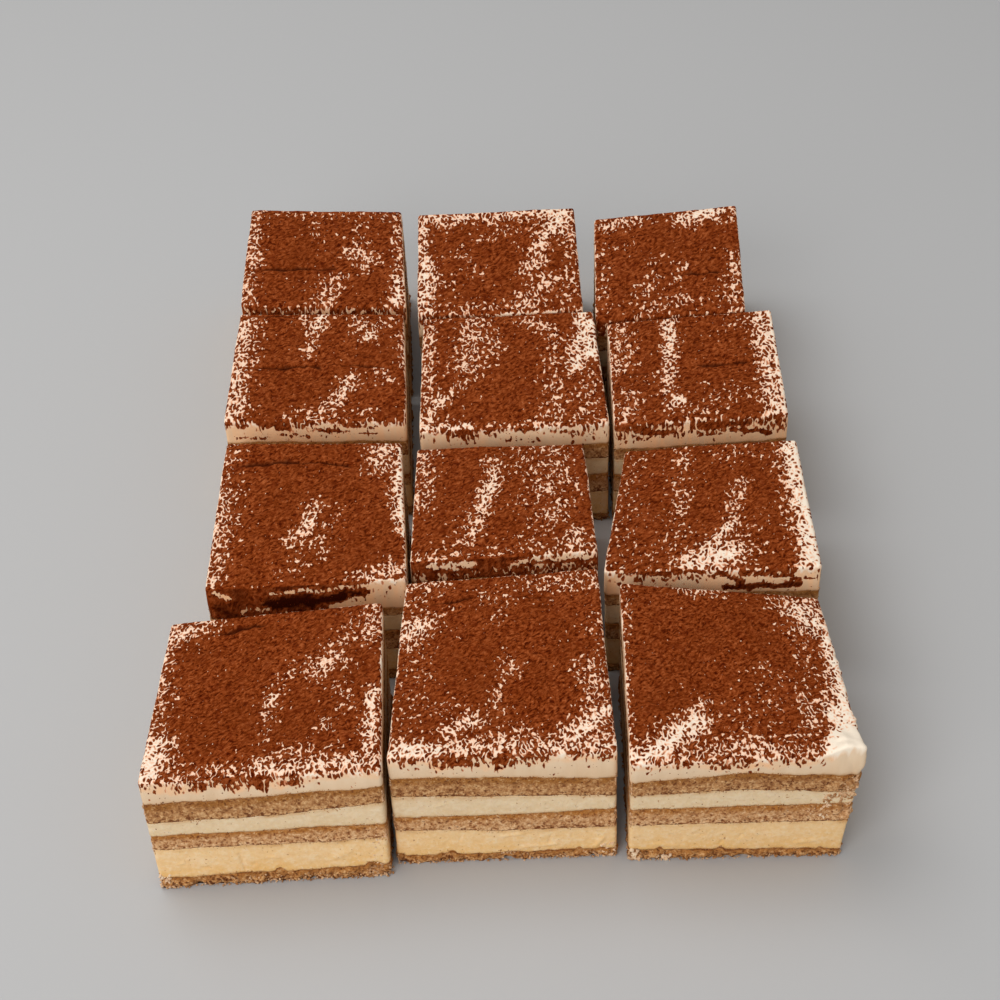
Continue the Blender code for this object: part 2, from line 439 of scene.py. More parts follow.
def cream_finish(name, colour, low_colour, smear, shade):
    """Set cream: smooth and a little moist, deeper in colour toward its foot, softly smeared."""
    material, tree, shader = new_finish(name, 0.5, 0.3)
    where = object_place(tree)
    clouds = cloud(tree, where, 95, 3.5, 0.55)
    low = scaled(tree, attribute(tree, "low"), 1.1, scaled(tree, clouds, 1.6, -0.9), clamp=True)
    tone = blend(tree, low, colour, low_colour)
    drags = cloud(tree, mapped(tree, where, (0.7, 0.7, 1)), 260, 4.0, 0.6)
    tone = blend(tree, between(tree, drags, 0.5, 0.72, 0, 0.5), tone, smear)
    grain = cloud(tree, where, 620, 3.0, 0.65)
    tone = blend(tree, between(tree, grain, 0.3, 0.5, 0.35, 0), tone, shade)
    tone = blend(tree, between(tree, grain, 0.52, 0.72, 0, 0.55), tone, smear)
    dragged = attribute(tree, "dragged")
    specks = scaled(tree, dragged, 0.14, cloud(tree, where, 1150, 0.0))
    tone = blend(tree, between(tree, specks, 0.79, 0.835, 0, 0.75), tone, (0.40, 0.16, 0.05))
    stain = scaled(tree, dragged, clouds, clamp=True)
    tone = blend(tree, scaled(tree, stain, 1.5), tone, (0.56, 0.28, 0.09))
    wire(tree, tone, shader.inputs["Base Color"])
    shader.inputs["Subsurface Weight"].default_value = 0.15
    shader.inputs["Subsurface Radius"].default_value = (1.0, 0.7, 0.4)
    shader.inputs["Subsurface Scale"].default_value = 2 * MM
    pinholes = between(tree, cloud(tree, where, 800, 0.0), 0.14, 0.2, 0, 1)
    height = scaled(tree, drags, 0.7, scaled(tree, grain, 0.6, clouds))
    bump(tree, shader, scaled(tree, pinholes, 0.4, height), 0.35 * MM)
    return material


YELLOW_CREAM = cream_finish("yellow_cream", (0.86, 0.575, 0.285), (0.84, 0.50, 0.18), (0.92, 0.72, 0.47),
                          (0.74, 0.42, 0.15))
# Nicks in the front faces of cream: from and to, in per cent of the width and in millimetres above
# the foot, then the nick's half width and its depth, in millimetres; below nought it is a smear.
NICKS = {
    "square_1_left": (
        (38.5, 7, 37, 15, 0.5, 0.55), (42, 9, 43, 10, 0.5, 0.3), (50, 13.2, 53, 12.6, 0.8, -0.45),
        (78, 11, 84, 13.2, 1.4, -0.4), (20, 9.5, 23, 9.2, 0.6, 0.35), (10, 12, 12, 12.5, 0.6, -0.3)),
    "square_1_middle": (
        (50, 12.5, 60, 13.5, 0.7, -0.35), (94, 6, 97, 9.5, 1, -0.6), (60, 6.5, 75, 7.5, 0.8, -0.3),
        (30, 11, 31, 13, 0.5, 0.3), (20, 29, 24, 30, 0.7, -0.3), (72, 8, 73, 12, 0.5, 0.35)),
    "square_1_right": (
        (12, 9, 22, 8, 0.8, -0.35), (50, 11, 52, 13, 0.6, 0.3), (30, 14, 33, 13.6, 0.6, 0.3),
        (62, 30, 66, 29.5, 0.7, -0.3), (78, 8, 86, 9, 0.9, -0.3), (42, 7.6, 43, 9.6, 0.5, 0.35)),
}
DRAGGED_DEPTH = 1.3 * MM
LIFTED_HEIGHT = 0.6 * MM


def off_line(spots, start, end):
    """How far each flat point lies from a straight line between two others."""
    run = end - start
    nearest = np.clip((spots - start) @ run / max(run @ run, 1e-9), 0, 1)
    return np.hypot(*(spots - start - nearest[:, None] * run).T)


def nicked(square, spots, facing):
    """How far the nicks of a square's front sink each point, in millimetres."""
    cut = CUTS[square]
    width = cut["size"][0]
    upright = np.column_stack((spots[:, 0] - cut["tops"][0, 0], spots[:, 2]))
    sunk = np.zeros(len(spots))
    for across, height, to_across, to_height, half_width, depth in NICKS.get(square, ()):
        start = np.array((across / 100 * width, height * MM))
        end = np.array((to_across / 100 * width, to_height * MM))
        sunk += depth * np.exp(-(off_line(upright, start, end) / (half_width * MM)) ** 2)
    return sunk * np.clip(-facing[:, 1], 0, 1)


def cream_press(square, spots, up, from_seam, facing):
    """A sawn cream side: nearly flat, with slow waves, soft edges and a few nicks."""
    soft = 0.05 * np.exp(-(from_seam / (0.3 * MM)) ** 2)
    waves = 0.2 * lumps(spots, 14 * MM, 21) + 0.08 * lumps(spots * (1, 1, 0.35), 3.5 * MM, 22)
    grain = 0.07 * lumps(spots, 1.1 * MM, 24)
    return (0.15 + waves + grain - soft - nicked(square, spots, facing)) * MM


def cream_layer(layer, finish):
    """Lays a set cream in every square, and paints how low it lies and where crumb sticks to it:
    dragged down under the seam above it, and lifted over the one below."""
    blocks = {}
    thickness = thickness_of(layer)
    for square in SQUARES:
        piece, spots, up = cut_band(layer, square, blocks, cream_press, finish)
        paint(piece, "low", (1 - up) ** 2)
        dragged = np.exp(-((1 - up) * thickness / DRAGGED_DEPTH) ** 2)
        dragged = dragged * (0.5 + 0.5 * lumps(spots, 4 * MM, 23))
        lifted = np.exp(-(up * thickness / LIFTED_HEIGHT) ** 2)
        lifted = lifted * (0.7 + 0.7 * lumps(spots, 2.5 * MM, 25))
        paint(piece, "dragged", np.maximum(dragged, lifted))


cream_layer("lower_cream", YELLOW_CREAM)


# Middle sponge. A sheet of baked sponge brushed with coffee lies on the lower cream. Its crumb is
# open, so the saw leaves pits and pale grains, and its crust makes a thin dark line along the top.
MIDDLE_CRUMB = crumb_finish("middle_sponge_crumb", (0.58, 0.30, 0.128), (0.82, 0.54, 0.30),
                            (0.18, 0.045, 0.009), (0.37, 0.135, 0.032), (0.43, 0.165, 0.03))
# The torn part of the front row's right square: how far its ragged front reaches from the right
# edge and how softly it ends, then the middle and the reach of the tear in depth, from the middle
# of the slab.
TORN_END = 11 * MM
TORN_FADE = 5 * MM
TORN_MIDDLE = -175 * MM
TORN_REACH = 40 * MM


def crag(square, spots, facing):
    """The right square of the front row tore where it was cut free: its right side is craggy, and
    so is the right end of its front."""
    if square != "square_1_right":
        return 0
    end = np.clip((spots[:, 0] - CUTS[square]["tops"][1, 0] + TORN_END) / TORN_FADE, 0, 1)
    near = np.clip(1.2 - np.abs(spots[:, 1] - TORN_MIDDLE) / TORN_REACH, 0, 1)
    torn = np.clip(facing[:, 0], 0, 1) * near
    torn = np.maximum(torn, end * np.clip(-facing[:, 1], 0, 1))
    return torn * (1.1 * lumps(spots, 3.6 * MM, 34) + 0.9 * lumps(spots, 1.7 * MM, 35)) * MM


def sponge_press(square, spots, up, from_seam, facing):
    """Open crumb: a side a little behind the cut, full of small pits and grains."""
    inside = 1 - 0.7 * np.exp(-(from_seam / (0.5 * MM)) ** 2)
    crumb = 0.24 * lumps(spots, 2.6 * MM, 31) + 0.2 * lumps(spots, 1.1 * MM, 32)
    pits = 1.6 * np.minimum(0, lumps(spots, 1.7 * MM, 33) + 0.56)
    return (0.13 + (crumb + pits) * inside) * MM + crag(square, spots, facing)


sponge_layer("middle_sponge", sponge_press, MIDDLE_CRUMB, 2.7 * MM, 0.5 * MM)


# Upper cream. A thinner layer of whipped cream, paler and greyer than the lower one, spread over the
# middle sponge and sawn as smooth as the lower cream.
PALE_CREAM = cream_finish("pale_cream", (0.775, 0.585, 0.36), (0.74, 0.54, 0.315), (0.84, 0.69, 0.49),
                          (0.66, 0.45, 0.24))
cream_layer("upper_cream", PALE_CREAM)


# Top sponge. The second sheet of sponge, thicker, more open and wetter than the middle one. It is
# baked, brushed with coffee and laid in like that one, and the top cream is spread on it.
TOP_CRUMB = crumb_finish("top_sponge_crumb", (0.46, 0.22, 0.082), (0.72, 0.44, 0.21), (0.14, 0.034, 0.006),
                         (0.28, 0.10, 0.022), (0.34, 0.13, 0.024))
sponge_layer("top_sponge", sponge_press, TOP_CRUMB, 3.6 * MM, 0.6 * MM)


# Top cream and its cocoa. The last cream is spread by hand and dusted with cocoa through a sieve.
# The crests of the spread cream stay bare as pale worms and dots, in the strokes that the spatula
# left, and along the rims the saw has pulled the cocoa down over the side as a fringe.
TOP_STEP = {"front": 0.5 * MM, "back": 0.62 * MM}
USUAL_TOP = np.array((76, 83)) * MM
TOP_SIDE = 8.7 * MM
SEAM_OVERLAP = 0.15 * MM
RIM_DROP = 1.2 * MM
RIM_WIDTH = 0.8 * MM
RIM_STEPS = 4
SIDE_STRETCH = 0.45
# The worms grow from the front row to the back, and lie longer in depth: how close together they
# stand across each row, and how close together in depth.
WORMS_ACROSS = {"1": 1.0, "2": 0.9, "3": 0.82, "4": 0.76}
WORMS_ALONG = {"1": 0.68, "2": 0.56, "3": 0.47, "4": 0.4}
# Where the spatula left the cream bare: from and to, in per cent of the square's width and depth from
# its front left corner, then the stroke's half width in millimetres and how bare it is.
STROKES = {
    "square_1_left": (
        (2, 0, 2, 100, 2.5, 0.6), (5, 90, 16, 98, 5, 0.75), (3, 2, 5, 22, 5, 0.95),
        (7, 30, 8, 55, 3, 0.4), (50, 33, 51, 46, 2.5, 0.6), (51, 42, 52, 46, 2, 0.85),
        (53, 50, 62, 63, 3, 0.5), (72, 60, 78, 66, 5, 0.72), (80, 72, 88, 85, 4, 0.5),
        (95, 80, 97, 100, 4, 0.65), (95, 8, 96, 45, 2.5, 0.85), (80, 50, 87, 38, 4, 0.46),
        (76, 25, 77, 26, 3, 0.65), (55, 11, 68, 14, 3, 0.55), (15, 3, 50, 5, 4, 0.58),
        (50, 3, 95, 4, 5, 0.8), (50, 20, 52, 33, 2.5, 0.45)),
    "square_1_middle": (
        (2, 97, 16, 98, 4, 0.65), (3, 70, 8, 72, 6, 0.85), (4, 86, 9, 90, 4, 0.5),
        (40, 88, 50, 84, 3, 0.5), (48, 72, 50, 84, 2.5, 0.42), (63, 95, 72, 90, 5, 0.56),
        (82, 93, 97, 95, 5, 0.58), (51, 55, 50, 22, 2, 0.48), (54, 47, 56, 45, 3, 0.6),
        (48, 32, 47, 27, 2.5, 0.65), (10, 15, 12, 60, 5, 0.38), (94, 16, 93, 42, 5, 0.62),
        (97, 45, 97, 70, 3, 0.42), (0, 3, 100, 3, 5.5, 0.78), (3, 3, 22, 3, 4, 0.98),
        (25, 12, 38, 19, 3.5, 0.78), (80, 7, 98, 20, 5, 0.86), (50, 10, 60, 12, 4, 0.5),
        (10, 28, 30, 22, 4, 0.45)),
    "square_1_right": (
        (88, 90, 95, 80, 7, 0.88), (33, 98, 50, 98, 2.5, 0.65), (1, 75, 3, 100, 2, 0.45),
        (97.5, 5, 98.5, 72, 3, 1.05), (95.5, 0, 97.5, 26, 6, 1.2), (84, 40, 86, 68, 3.5, 0.42),
        (81, 20, 79, 34, 2.5, 0.7), (5, 2, 30, 20, 4.5, 1), (28, 20, 33, 30, 3, 0.72),
        (0, 3, 100, 3, 5, 0.66), (38, 7, 62, 5, 3.5, 0.72), (50, 15, 72, 40, 7, 0.36),
        (60, 50, 66, 54, 2.5, 0.45), (1, 10, 1, 90, 1.6, 0.45), (72, 10, 85, 20, 4, 0.5)),
    "square_2_left": (
        (3, 5, 3, 60, 4.5, 0.68), (3, 60, 4, 100, 3.5, 0.48), (54, 53, 51, 44, 3, 0.72),
        (51, 44, 50, 40, 2.5, 0.95), (50, 38, 42, 28, 4, 0.72), (55, 30, 58, 20, 4, 0.55),
        (40, 8, 55, 18, 5, 0.36), (90, 80, 92, 100, 5.5, 0.72), (97, 35, 97, 75, 2.8, 0.78),
        (78, 2, 96, 6, 4, 0.75), (64, 50, 62, 35, 2.5, 0.4), (99, 30, 99, 95, 1.2, 1)),
    "square_2_middle": (
        (4, 48, 5, 100, 4, 0.62), (45, 82, 47, 68, 3.5, 0.72), (46, 68, 40, 45, 3.5, 0.85),
        (40, 45, 36, 28, 3.5, 0.68), (35, 26, 30, 14, 2.5, 0.72), (62, 90, 78, 62, 7, 0.48),
        (80, 95, 86, 65, 5, 0.58), (72, 59, 76, 56, 3, 0.75), (82, 42, 76, 30, 4, 0.68),
        (90, 16, 88, 6, 4, 0.75), (5, 2, 30, 3, 3, 0.6), (40, 3, 100, 3, 4, 0.5),
        (60, 10, 78, 26, 7, 0.42), (20, 10, 30, 30, 5, 0.36), (60, 45, 95, 55, 6, 0.36)),
    "square_2_right": (
        (6, 10, 8, 95, 5, 0.36), (31, 40, 33, 95, 4.5, 0.42), (34, 90, 36, 86, 3, 0.65),
        (34, 45, 35, 57, 3, 0.65), (42, 2, 56, 12, 7, 0.95), (50, 20, 60, 34, 3, 0.85),
        (60, 36, 66, 68, 3, 0.66), (64, 20, 70, 35, 4, 0.42), (95, 0, 95.5, 100, 3.2, 1),
        (99, 0, 99, 100, 1.8, 1.25), (55, 90, 76, 97, 5, 0.38), (20, 10, 35, 30, 5, 0.4),
        (88, 30, 88, 90, 2.5, 0.5)),
    "square_3_left": (
        (4, 0, 4, 100, 4.5, 0.78), (12, 40, 13, 95, 3, 0.45), (52, 100, 46, 85, 3, 0.85),
        (46, 85, 44, 60, 2.5, 0.66), (40, 95, 44, 80, 3, 0.6), (72, 98, 80, 75, 4.5, 0.6),
        (80, 82, 78, 74, 2.5, 0.85), (90, 92, 90, 90, 5, 0.5), (86, 42, 90, 38, 4, 0.5),
        (70, 38, 63, 20, 3.5, 0.75), (62, 18, 50, 5, 4, 0.7), (40, 4, 78, 8, 5, 0.38),
        (38, 2, 33, 2, 2, 0.7), (98, 50, 99, 80, 2, 0.6)),
    "square_3_middle": (
        (3, 0, 3, 100, 3.5, 0.66), (25, 50, 30, 95, 6, 0.64), (40, 60, 42, 85, 4, 0.5),
        (28, 82, 36, 78, 4, 0.7), (62, 93, 73, 85, 4, 0.66), (93, 98, 93, 75, 4, 0.92),
        (90, 75, 86, 48, 4, 0.92), (96, 60, 98, 90, 3, 1.05), (75, 78, 72, 50, 4, 0.5),
        (4, 10, 10, 26, 4, 0.75), (13, 28, 24, 40, 3, 0.68), (70, 5, 75, 38, 5, 0.56),
        (88, 5, 93, 40, 5, 0.52), (0, 2, 25, 2, 3, 0.85), (30, 2, 100, 2, 2, 0.55)),
    "square_3_right": (
        (5, 55, 8, 98, 5, 0.62), (37, 100, 37, 75, 3.5, 0.85), (36, 75, 34, 50, 3, 0.85),
        (35, 50, 32, 28, 3, 0.72), (93, 0, 93, 100, 4.5, 0.84), (99, 0, 99, 100, 1.4, 1.05),
        (78, 88, 88, 92, 4, 0.5), (6, 2, 10, 25, 4.5, 0.6), (38, 19, 38, 16, 3, 0.9),
        (45, 5, 70, 22, 6, 0.46), (88, 35, 90, 90, 3, 0.6), (30, 12, 36, 28, 3, 0.5),
        (20, 40, 28, 45, 3, 0.45)),
    "square_4_left": (
        (3, 0, 3, 100, 3.5, 0.62), (4, 30, 5, 70, 3.5, 0.72), (0, 96, 100, 96, 4.5, 0.46),
        (68, 55, 78, 47, 5, 0.72), (70, 62, 75, 36, 3, 0.6), (50, 0, 52, 20, 5, 0.68),
        (58, 10, 58, 28, 3.5, 0.6), (95, 2, 97, 26, 3.5, 0.88), (97, 30, 97, 95, 2.5, 0.6),
        (70, 90, 73, 62, 4, 0.42), (42, 90, 46, 70, 3, 0.4)),
    "square_4_middle": (
        (4, 0, 5, 50, 4.5, 0.88), (3, 50, 4, 100, 3, 0.78), (0, 95, 100, 95, 6, 0.78),
        (90, 98, 88, 78, 7, 0.9), (84, 78, 75, 60, 4, 0.78), (76, 60, 66, 36, 3, 0.72),
        (78, 55, 72, 40, 3.5, 0.7), (95, 50, 96, 80, 3, 0.6), (65, 5, 80, 30, 6, 0.72),
        (25, 60, 30, 55, 4, 0.55), (20, 30, 35, 40, 5, 0.4), (10, 2, 60, 8, 5, 0.5),
        (90, 5, 95, 40, 5, 0.5), (45, 75, 70, 80, 6, 0.42)),
    "square_4_right": (
        (5, 90, 28, 96, 5.5, 0.7), (65, 92, 82, 95, 6, 0.95), (2, 65, 20, 68, 4, 0.48),
        (60, 45, 55, 30, 3, 0.55), (42, 36, 32, 20, 4, 0.55), (30, 5, 60, 12, 6, 0.55),
        (95, 2, 97, 50, 4, 0.62), (88, 10, 90, 28, 4, 0.5), (4, 10, 8, 50, 3, 0.4),
        (40, 50, 46, 56, 3, 0.45), (97, 85, 98, 100, 3, 0.6)),
}
# Where the cocoa crust has cracked or slid into a short groove: from and to, as for the strokes. The
# groove is also painted darker, as painted shade.
GROOVES = {
    "square_1_left": ((20, 90, 45, 92),),
    "square_1_middle": ((15, 85, 35, 88), (60, 86, 75, 85)),
    "square_2_left": ((10, 84, 42, 85), (45, 84, 70, 83)),
    "square_3_left": ((10, 47, 50, 48), (66, 49, 90, 47), (0, 96, 30, 98)),
    "square_3_right": ((10, 48, 22, 48), (55, 49, 80, 51)),
    "square_4_left": ((4, 36, 56, 38),),
    "square_4_right": ((60, 37, 85, 37),),
}
GROOVE_WIDTH = {"front": 0.7 * MM, "back": 1.0 * MM}
GROOVE_DEPTH = 1.0 * MM
# How far down its front face the cocoa was pulled on each square, in millimetres at five places from
# the left to the right, and how brown the cream below is painted: partly a cocoa stain, and on the
# squares behind also painted warm light reflected from the cocoa tops in front. On the second row's
# left square the cocoa reaches down nearly the whole front, a dark sheet that partly stands for the
# shade in the gap between the rows.
FRONT_DUST = {
    "square_1_left": (4.0, 4.0, 5.4, 3.6, 2.6, 0.1), "square_1_middle": (2.8, 4.6, 5.6, 4.0, 3.0, 0.12),
    "square_1_right": (2.2, 2.8, 4.8, 3.6, 0.5, 0.1), "square_2_left": (18, 18, 15, 7, 3.5, 0.9),
    "square_2_middle": (14, 14, 14, 14, 14, 0.8), "square_2_right": (1.6, 2.4, 2.0, 3.0, 0.8, 0.85),
    "square_3_left": (2.2, 4.8, 2.8, 3.4, 2.2, 0.75), "square_3_middle": (1.2, 4.2, 1.4, 1.2, 1.4, 0.6),
    "square_3_right": (3.5, 6.5, 2.8, 6.0, 3.6, 0.85), "square_4_left": (8, 8, 8, 8, 6, 0.8),
    "square_4_middle": (2.6, 4, 3, 1.2, 3, 0.5), "square_4_right": (7, 7, 5, 9, 6, 0.6),
}
# The same on the other sides, in millimetres.
SIDE_DUST = 1.8
# How bare the sides get below the fringe, so that some cocoa still dots the cream there, then how
# much barer the torn lip is and how much painted shade darkens a groove, and the limits of bareness;
# below nought the cocoa is painted near-black as shadow.
DOTTED_SIDE = {"front": 1.38, "back": 1.2}
LIP_BARENESS = 1.6
GROOVE_SHADE = 0.8
LEAST_BARE = -0.9
MOST_BARE = 3.2
# Marks on the fronts behind: from and to, in per cent of the width and in millimetres below the rim,
# then the mark's half width in millimetres and how bare it is; below nought the mark is a painted
# shadow, such as the dark gap under the rim of the square in front.
FRONT_MARKS = {
    "square_2_left": (
        (32, 3.8, 82, 3, 1.3, 0.85), (30, 9.5, 76, 7.8, 3, -0.9), (84, 3.5, 98, 3, 4, 1.2),
        (72, 9.6, 92, 8.2, 1.8, 1.2), (5, 2.5, 10, 4.5, 1.4, 1), (17, 12, 30, 11, 1.4, 0.9),
        (5, 9, 10, 14, 2.5, -0.5)),
    "square_2_middle": (
        (2, 8, 30, 9.5, 3.5, 0.66), (66, 8, 96, 8, 3.5, 0.62), (34, 8, 60, 7, 3, 0.4),
        (12, 2.3, 30, 3.2, 2.8, 1), (53, 3, 66, 2.4, 1.5, 0.85), (69, 2.6, 98, 1.8, 2.4, 0.98)),
    "square_2_right": (
        (8, 3.2, 48, 3.2, 2.8, 0.8), (10, 1, 46, 1.2, 1.2, 0.3), (53, 1.5, 64, 6.5, 1.2, -0.3),
        (64, 2, 86, 2.4, 2.2, 0.35), (56, 9.4, 90, 8.6, 1.6, -0.5), (86, 6.6, 97, 6, 0.6, 0.1),
        (78, 4.2, 87, 4.6, 0.6, 0), (3, 4, 7, 7, 1.2, 0.75)),
    "square_3_left": (
        (20, 1, 34, 3.8, 2, 0.05), (42, 3, 62, 5.5, 1.4, 0.66), (57, 5.2, 69, 6, 0.6, 0.2),
        (70, 2.6, 82, 3.6, 0.8, 0.35), (6, 8.6, 24, 9.4, 0.8, 0.62), (30, 7.5, 46, 8.5, 1, 0.6),
        (0, 1, 12, 2.4, 1.2, 0.4), (74, 6.6, 84, 7, 0.5, 0.2)),
    "square_3_middle": (
        (14, 1, 16, 7.5, 0.8, 0.4), (21, 1, 23, 5.5, 0.8, 0.2), (27, 1, 29, 8, 0.6, 0.45),
        (36, 1, 37, 4.5, 0.6, 0.3), (2, 3, 6, 5, 1, 0.8), (46, 7, 60, 8, 0.7, 0.62),
        (70, 3.5, 92, 6, 1.4, 0.72), (50, 1, 62, 1.6, 1, 0.3)),
    "square_3_right": (
        (2, 6, 96, 6, 4, 0.85), (3, 2, 20, 4, 2, 0.15), (16, 5, 36, 6.5, 1.6, 0.3),
        (45, 3, 66, 4, 1.9, 0.25), (60, 6.5, 74, 7, 1, 0.2), (68, 4.2, 77, 3.6, 1, -0.5),
        (76, 7, 90, 8.5, 1.2, 0), (50, 8, 62, 8.4, 0.7, 0.3), (92, 3, 97, 6.5, 1.2, 0.6),
        (42, 0.5, 42, 8.5, 0.7, 1.4), (6, 8, 20, 8.6, 0.8, 0.6)),
    "square_4_left": ((0, 3, 100, 2.4, 4, 0.4), (36, 3, 56, 2.4, 3, 0.6), (84, 3, 96, 2.4, 3, 0.6)),
    "square_4_middle": ((0, 3, 100, 2.4, 4, 0.62), (55, 2, 82, 1.6, 3, 0.9)),
    "square_4_right": ((0, 3, 100, 2.4, 4, 0.4),),
}


def dusted_block(steps_x, steps_y, rings):
    """A flat grid with its border drawn down in rings and closed beneath."""
    block = bmesh.new()
    bmesh.ops.create_grid(block, x_segments=steps_x, y_segments=steps_y, size=0.5)
    border = [edge for edge in block.edges if edge.is_boundary]
    for ring in range(rings):
        grown = bmesh.ops.extrude_edge_only(block, edges=border)["geom"]
        lowered = [part for part in grown if isinstance(part, bmesh.types.BMVert)]
        bmesh.ops.translate(block, verts=lowered, vec=(0, 0, -1))
        border = [edge for edge in block.edges if edge.is_boundary]
    bmesh.ops.holes_fill(block, edges=border, sides=0)
    bmesh.ops.recalc_face_normals(block, faces=block.faces)
    for face in block.faces:
        face.smooth = len(face.verts) == 4
    return block


def rim_lines(length, steps):
    """Where the grid's lines lie across a top: close together round both rims, even between."""
    turn = np.linspace(0, math.pi / 2, RIM_STEPS + 1)
    near = CORNER_RADIUS * (1 - np.cos(turn))
    even = np.linspace(CORNER_RADIUS, length - CORNER_RADIUS, steps - 2 * RIM_STEPS + 1)[1:-1]
    return np.concatenate((near, even, length - near[::-1])) - length / 2


def on_top_of(square, flat):
    """Flat points of a square in the slab's own frame, at the height nought."""
    return np.column_stack((flat + CUTS[square]["tops"].mean(axis=0), np.zeros(len(flat))))


def ends_of(square, across, along, to_across, to_along):
    """The two ends of a stroke in the flat square."""
    size = CUTS[square]["size"]
    start = (np.array((across, along)) / 100 - 0.5) * size
    return start, (np.array((to_across, to_along)) / 100 - 0.5) * size


def groove_share(square, flat):
    """How deep into a groove each point lies, from none to all of it."""
    spots = on_top_of(square, flat)
    wander = 1.4 * lumps(spots, 8 * MM, 44) + 0.7 * lumps(spots, 2.5 * MM, 46)
    wander = np.column_stack((np.zeros(len(flat)), wander * MM))
    width = GROOVE_WIDTH[grain_of(square)] * (1 + 0.8 * lumps(spots, 4 * MM, 45))
    share = np.zeros(len(flat))
    for stroke in GROOVES.get(square, ()):
        start, end = ends_of(square, *stroke)
        share = np.maximum(share, np.exp(-(off_line(flat + wander, start, end) / width) ** 2))
    return share


def stroke_bareness(square, flat):
    """How bare the cream is at each point: the strongest stroke there, with uneven edges."""
    spots = on_top_of(square, flat)
    uneven = 1 + 0.35 * lumps(spots, 5 * MM, 41) + 0.3 * lumps(spots, 2.2 * MM, 42)
    bare = 0.14 * lumps(spots, 9 * MM, 43)
    for *stroke, half_width, strength in STROKES[square]:
        start, end = ends_of(square, *stroke)
        distance = off_line(flat, start, end) * uneven
        bare = np.maximum(bare, strength * np.exp(-(distance / (half_width * MM)) ** 2 * 0.38))
    return bare


def front_marked(square, across, below, spots, bare):
    """How bare a front is once its marks are laid over it."""
    width = CUTS[square]["size"][0]
    wander = 0.9 * lumps(spots, 7 * MM, 69) + 0.5 * lumps(spots, 2.4 * MM, 70)
    unrolled = np.column_stack((across * width, below + wander * MM))
    uneven = 1 + 0.45 * lumps(spots, 3 * MM, 67) + 0.45 * lumps(spots, 1.3 * MM, 68)
    for start_across, start_below, end_across, end_below, half_width, bareness in FRONT_MARKS.get(square, ()):
        start = np.array((start_across / 100 * width, start_below * MM))
        end = np.array((end_across / 100 * width, end_below * MM))
        inside = np.clip(2.2 - 2 * off_line(unrolled, start, end) * uneven / (half_width * MM), 0, 1)
        bare = bare + inside * (bareness - bare)
    return bare


def warped(tree, source, scale, distance):
    """The source coordinates, pushed about by soft noise."""
    push = tree.nodes.new("ShaderNodeTexNoise")
    wire(tree, source, push.inputs["Vector"])
    push.inputs["Scale"].default_value = scale
    push.inputs["Detail"].default_value = 1.0
    add = tree.nodes.new("ShaderNodeVectorMath")
    add.operation = "MULTIPLY_ADD"
    wire(tree, push.outputs["Color"], add.inputs[0])
    add.inputs[1].default_value = (distance, distance, distance)
    wire(tree, source, add.inputs[2])
    return add.outputs["Vector"]


def cocoa_powder(tree, drape, bare):
    """The colour of the powder: its strands painted dark in their folds and light on their ridges, as
    painted shade and highlight, darker in its clots, and near-black as a painted shadow where the
    bareness falls below nought.
    """
    brushed = warped(tree, mapped(tree, drape, (1, 1, 1), -0.35), 300, 2.2 * MM)
    strands = cloud(tree, mapped(tree, brushed, (0.52, 1.1, 1)), 1350, 3.0, 0.6)
    # The folds of the strands are painted dark and their ridges light: painted shade and highlight.
    powder = ramp(tree, strands, ((0.36, (0.060, 0.0048, 0.0003)), (0.45, (0.165, 0.026, 0.003)),
                                  (0.56, (0.262, 0.052, 0.0105)), (0.68, (0.39, 0.10, 0.028))))
    tone = cloud(tree, drape, 60, 2.0)
    powder = blend(tree, between(tree, tone, 0.4, 0.75, 0, 0.35), powder, (0.145, 0.024, 0.0025))
    clots = cloud(tree, drape, 330, 1.5)
    powder = blend(tree, between(tree, clots, 0.5, 0.72, 0, 0.5), powder, (0.13, 0.016, 0.002))
    # Where the bareness falls below nought, the powder is painted near-black: a painted shadow.
    painted_shadow = scaled(tree, bare, -1.2, clamp=True)
    return blend(tree, painted_shadow, powder, (0.035, 0.004, 0.0006)), strands


def side_cream(tree, drape, down):
    """The cream's colour on the cut, stained by cocoa and by the seam, painted darker than the crests' cream
    and darker still further down the cut, as painted shade. Also gives how far it takes over from the
    bright cream of the crests."""
    on_seam = scaled(tree, attribute(tree, "dragged"), cloud(tree, drape, 700, 2.0), clamp=True)
    # Further down the cut the cream is painted darker: painted shade.
    low = cloud(tree, mapped(tree, drape, (1, 0.4, 1)), 260, 3.0)
    low = scaled(tree, low, 0.9, scaled(tree, down, 0.75, -0.5), clamp=True)
    colour = blend(tree, low, (0.82, 0.64, 0.45), (0.67, 0.47, 0.29))
    streaks = cloud(tree, mapped(tree, drape, (1, 0.3, 1)), 420, 3.0)
    stain = scaled(tree, between(tree, streaks, 0.4, 0.6, 0, 1), 0.5, 0.5)
    stain = scaled(tree, attribute(tree, "stain"), stain, clamp=True)
    # The stain colour is partly cocoa stain and partly painted warm reflected light on the squares behind.
    colour = blend(tree, stain, colour, (0.90, 0.52, 0.28))
    colour = blend(tree, on_seam, colour, (0.50, 0.25, 0.085))
    # Below the rim the bare cream turns from the bright crest colour to the darker cut colour: painted shade.
    shaded_side_share = scaled(tree, down, 5.0, scaled(tree, streaks, -4.5, 1.9), clamp=True)
    return colour, scaled(tree, shaded_side_share, scaled(tree, down, 20.0, clamp=True))


